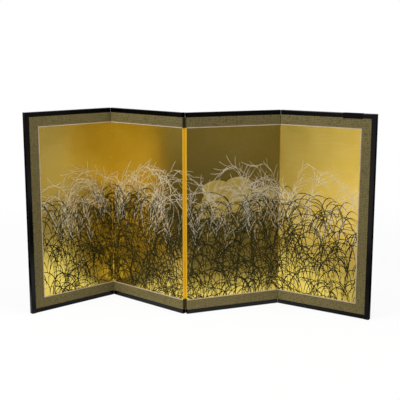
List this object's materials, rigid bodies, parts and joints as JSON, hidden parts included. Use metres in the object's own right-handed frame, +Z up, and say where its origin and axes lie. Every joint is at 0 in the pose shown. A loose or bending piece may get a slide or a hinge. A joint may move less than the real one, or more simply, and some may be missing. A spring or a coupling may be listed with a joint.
{
  "type": "byobu folding screen",
  "caption": "Free-standing folding screen of papered lattice panels in black lacquered frames, joined by paper hinges, with a gold picture ground and brocade borders.",
  "frame": {"origin": "on the floor, at the middle of the standing screen's bounding box", "axes": "+Z up, +X to the right along the screen seen from its picture side, +Y away from the picture side"},
  "size_m": [1.5332, 0.4014, 0.9143],
  "materials": {
    "black_lacquer": "black lacquer over wood, satin",
    "core_cedar": "planed softwood, unfinished",
    "underlay_paper": "layered fibrous paper",
    "hinge_paper": "strong fibrous paper faced in gold",
    "gold_paper": "gold leaf on paper, painted with bush clover in green-black and shell white",
    "backing_paper": "dark green dyed mulberry paper with a faint printed lozenge",
    "brocade_silk": "olive figured brocade",
    "fillet_silk": "pale beige silk strip",
    "nail_iron": "square-cut iron, blackened",
    "band_tape": "black cloth tape, matt"
  },
  "bodies": {
    "panel_1": {"backing_sheet_1": "backing_paper", "bottom_rail_1": "black_lacquer", "brocade_border_1": "brocade_silk", "core_rails_1": "core_cedar", "core_stiles_1": "core_cedar", "frame_nails_1": "nail_iron", "hinge_leaves_1_2_on_1": "hinge_paper", "lattice_crossbars_1": "core_cedar", "lattice_uprights_1": "core_cedar", "outer_stile_left": "black_lacquer", "picture_sheet_1": "gold_paper", "silk_fillet_1": "fillet_silk", "top_rail_1": "black_lacquer", "underlays_1": "underlay_paper"},
    "panel_2": {"backing_sheet_2": "backing_paper", "bottom_rail_2": "black_lacquer", "brocade_border_2": "brocade_silk", "core_rails_2": "core_cedar", "core_stiles_2": "core_cedar", "frame_nails_2": "nail_iron", "hinge_leaves_1_2_on_2": "hinge_paper", "hinge_leaves_2_3_on_2": "hinge_paper", "lattice_crossbars_2": "core_cedar", "lattice_uprights_2": "core_cedar", "picture_sheet_2": "gold_paper", "silk_fillet_2": "fillet_silk", "top_rail_2": "black_lacquer", "underlays_2": "underlay_paper"},
    "panel_3": {"backing_sheet_3": "backing_paper", "bottom_rail_3": "black_lacquer", "brocade_border_3": "brocade_silk", "core_rails_3": "core_cedar", "core_stiles_3": "core_cedar", "frame_nails_3": "nail_iron", "hinge_leaves_2_3_on_3": "hinge_paper", "hinge_leaves_3_4_on_3": "hinge_paper", "lattice_crossbars_3": "core_cedar", "lattice_uprights_3": "core_cedar", "picture_sheet_3": "gold_paper", "silk_fillet_3": "fillet_silk", "top_rail_3": "black_lacquer", "underlays_3": "underlay_paper"},
    "panel_4": {"backing_sheet_4": "backing_paper", "bottom_rail_4": "black_lacquer", "brocade_border_4": "brocade_silk", "core_rails_4": "core_cedar", "core_stiles_4": "core_cedar", "frame_nails_4": "nail_iron", "hinge_leaves_3_4_on_4": "hinge_paper", "lattice_crossbars_4": "core_cedar", "lattice_uprights_4": "core_cedar", "outer_stile_right": "black_lacquer", "picture_sheet_4": "gold_paper", "rail_band": "band_tape", "silk_fillet_4": "fillet_silk", "top_rail_4": "black_lacquer", "underlays_4": "underlay_paper"}
  },
  "joints": [
    {"name": "fold_1_2", "type": "hinge", "parent": "panel_2", "child": "panel_1", "pos_m": [-0.41457, 0.18644, 0], "axis": [0, 0, 1], "range_deg": [-83, 97]},
    {"name": "fold_2_3", "type": "hinge", "parent": "panel_2", "child": "panel_3", "pos_m": [-0.0578, -0.09983, 0], "axis": [0, 0, 1], "range_deg": [-62.5, 117.5]},
    {"name": "fold_3_4", "type": "hinge", "parent": "panel_3", "child": "panel_4", "pos_m": [0.3751, 0.04791, 0], "axis": [0, 0, -1], "range_deg": [-54.5, 125.5]}
  ]
}
